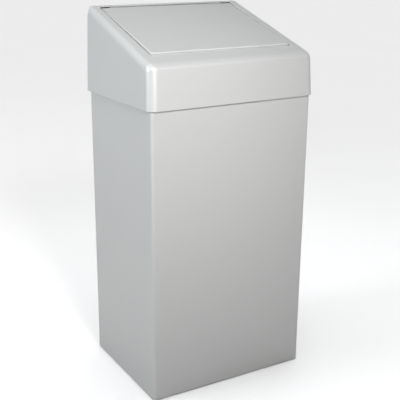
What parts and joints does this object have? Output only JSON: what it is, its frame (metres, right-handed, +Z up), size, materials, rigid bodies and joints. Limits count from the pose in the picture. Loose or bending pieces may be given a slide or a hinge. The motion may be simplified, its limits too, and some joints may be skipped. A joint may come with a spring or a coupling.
{
  "type": "dog waste bin",
  "caption": "Rectangular litter bin of coated sheet steel with a lift-off sloping hood and a self-closing tipping flap, for a wall or for the floor.",
  "frame": {"origin": "on the floor under the middle of the whole bin's bounding box", "axes": "+Z up, -Y towards the front where the slope is low, +X to the right of a person who faces the front"},
  "size_m": [0.331, 0.25, 0.681],
  "materials": {
    "powder_coat": "pale grey powder coat, semi-gloss, with a faint orange peel",
    "zinc_sheet": "zinc-plated sheet, dull",
    "zinc_wire": "zinc-plated wire",
    "zinc_fastener": "zinc-plated, bright",
    "rivet": "plain blind rivet",
    "spring_steel": "blackened spring steel",
    "weight_steel": "hot-rolled flat bar with mill scale",
    "bush_nylon": "natural nylon",
    "foot_rubber": "moulded black rubber",
    "buffer_rubber": "soft black rubber"
  },
  "bodies": {
    "body": {"body_wrap": "powder_coat", "rear_panel": "powder_coat", "base_pan": "powder_coat", "back_rivets": "rivet", "feet": "foot_rubber", "foot_screws": "zinc_fastener", "foot_nuts": "zinc_fastener", "bag_frame": "zinc_wire", "frame_tabs": "powder_coat"},
    "hood": {"hood_shell": "powder_coat", "hood_back": "powder_coat", "hood_rest_left": "zinc_sheet", "hood_rest_right": "zinc_sheet", "hood_rest_front": "zinc_sheet", "pivot_bracket_left": "zinc_sheet", "pivot_bracket_right": "zinc_sheet", "pivot_bush_left": "bush_nylon", "pivot_bush_right": "bush_nylon", "stop_pins": "zinc_fastener", "tail_ledge": "zinc_sheet", "tail_buffers": "buffer_rubber"},
    "flap": {"flap_panel": "powder_coat", "pivot_rod": "zinc_fastener", "rod_clips": "spring_steel", "counterweight_bar": "weight_steel", "weight_studs": "zinc_fastener", "weight_washers": "zinc_fastener", "weight_nuts": "zinc_fastener"}
  },
  "joints": [
    {"name": "hood_lift", "type": "slide", "parent": "body", "child": "hood", "axis": [0, 0, 1], "range_m": [0, 0.1]},
    {"name": "flap_swing", "type": "hinge", "parent": "hood", "child": "flap", "pos_m": [0, 0.04282, 0.64709], "axis": [1, 0, 0], "range_deg": [0, 58]}
  ]
}
